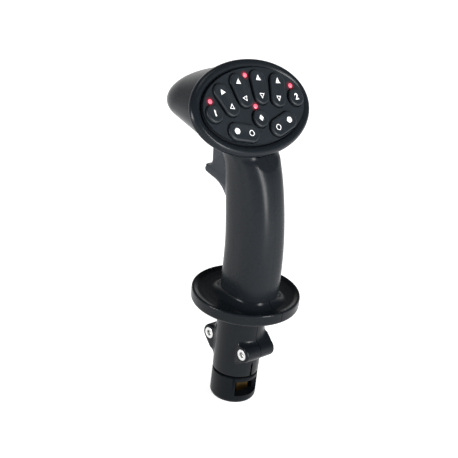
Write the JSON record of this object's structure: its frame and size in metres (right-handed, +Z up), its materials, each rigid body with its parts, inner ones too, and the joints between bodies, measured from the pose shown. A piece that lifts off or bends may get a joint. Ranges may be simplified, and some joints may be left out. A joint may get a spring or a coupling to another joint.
{
  "type": "industrial joystick grip",
  "caption": "Joystick handle with an oval illuminated keypad on an angled head, a finger trigger, a round hand rest and a split clamp over a lever adapter.",
  "frame": {"origin": "centre of the lever bore where it opens in the adapter's underside", "axes": "+Z up along the lever, -Y towards the operator and keypad, +Y towards the barrel's nose and trigger, X = 0 the parting plane"},
  "size_m": [0.1058, 0.1158, 0.2507],
  "materials": {
    "black_plastic": "fine spark-eroded texture",
    "trigger_plastic": "smooth satin",
    "switch_plastic": "satin",
    "bracket_plastic": "satin",
    "silicone": "matt silicone rubber",
    "steel": "zinc plated",
    "brass": "turned",
    "led": "diffuse light pipe, lit red",
    "circuit_board": "solder mask"
  },
  "bodies": {
    "housing": {"left_grip_shell": "black_plastic", "right_grip_shell": "black_plastic", "shell_screws": "steel", "bezel_ring": "black_plastic", "keypad_mat": "silicone", "key_frame": "black_plastic", "led_light_pipes": "led", "keypad_board": "circuit_board", "tactile_switches": "switch_plastic", "board_screws": "steel", "trigger_pin": "steel", "trigger_spring": "steel", "trigger_bracket": "bracket_plastic", "trigger_switch": "switch_plastic", "control_board": "circuit_board", "left_clamp_half": "black_plastic", "right_clamp_half": "black_plastic", "clamp_screws": "steel", "clamp_nuts": "steel", "adapter_sleeve": "black_plastic", "lock_nut": "brass"},
    "rocker_far_left": {"rocker_far_left": "silicone"},
    "rocker_near_left": {"rocker_near_left": "silicone"},
    "rocker_near_right": {"rocker_near_right": "silicone"},
    "rocker_far_right": {"rocker_far_right": "silicone"},
    "rocker_low_left": {"rocker_low_left": "silicone"},
    "rocker_low_right": {"rocker_low_right": "silicone"},
    "round_key_left": {"round_key_left": "silicone"},
    "round_key_right": {"round_key_right": "silicone"},
    "round_key_centre": {"round_key_centre": "silicone"},
    "trigger": {"trigger": "trigger_plastic"}
  },
  "joints": [
    {"name": "rocker_far_left_tilt", "type": "hinge", "parent": "housing", "child": "rocker_far_left", "pos_m": [-0.0234, 0.02025, 0.22933], "axis": [0.9466, 0.2019, 0.2512], "range_deg": [-3.5, 3.5], "stiffness_Nm_per_rad": 0.12},
    {"name": "rocker_near_left_tilt", "type": "hinge", "parent": "housing", "child": "rocker_near_left", "pos_m": [-0.0083, 0.02307, 0.23284], "axis": [0.9925, 0.0764, 0.095], "range_deg": [-3.5, 3.5], "stiffness_Nm_per_rad": 0.12},
    {"name": "rocker_near_right_tilt", "type": "hinge", "parent": "housing", "child": "rocker_near_right", "pos_m": [0.0083, 0.02307, 0.23284], "axis": [0.9925, -0.0764, -0.095], "range_deg": [-3.5, 3.5], "stiffness_Nm_per_rad": 0.12},
    {"name": "rocker_far_right_tilt", "type": "hinge", "parent": "housing", "child": "rocker_far_right", "pos_m": [0.0234, 0.02025, 0.22933], "axis": [0.9466, -0.2019, -0.2512], "range_deg": [-3.5, 3.5], "stiffness_Nm_per_rad": 0.12},
    {"name": "rocker_low_left_tilt", "type": "hinge", "parent": "housing", "child": "rocker_low_left", "pos_m": [-0.0182, 0.00502, 0.21039], "axis": [0.2874, 0.6002, 0.7465], "range_deg": [-3.5, 3.5], "stiffness_Nm_per_rad": 0.12},
    {"name": "rocker_low_right_tilt", "type": "hinge", "parent": "housing", "child": "rocker_low_right", "pos_m": [0.0182, 0.00502, 0.21039], "axis": [0.2874, -0.6002, -0.7465], "range_deg": [-3.5, 3.5], "stiffness_Nm_per_rad": 0.12},
    {"name": "round_key_left_press", "type": "slide", "parent": "housing", "child": "round_key_left", "axis": [0, 0.7793, -0.6266], "range_m": [0, 0.0009], "stiffness_N_per_m": 1500},
    {"name": "round_key_right_press", "type": "slide", "parent": "housing", "child": "round_key_right", "axis": [0, 0.7793, -0.6266], "range_m": [0, 0.0009], "stiffness_N_per_m": 1500},
    {"name": "round_key_centre_press", "type": "slide", "parent": "housing", "child": "round_key_centre", "axis": [0, 0.7793, -0.6266], "range_m": [0, 0.0009], "stiffness_N_per_m": 1500},
    {"name": "trigger_pull", "type": "hinge", "parent": "housing", "child": "trigger", "pos_m": [0, 0.0312, 0.204], "axis": [-1, 0, 0], "range_deg": [0, 7], "stiffness_Nm_per_rad": 0.6, "deforming": ["trigger_spring"]}
  ]
}
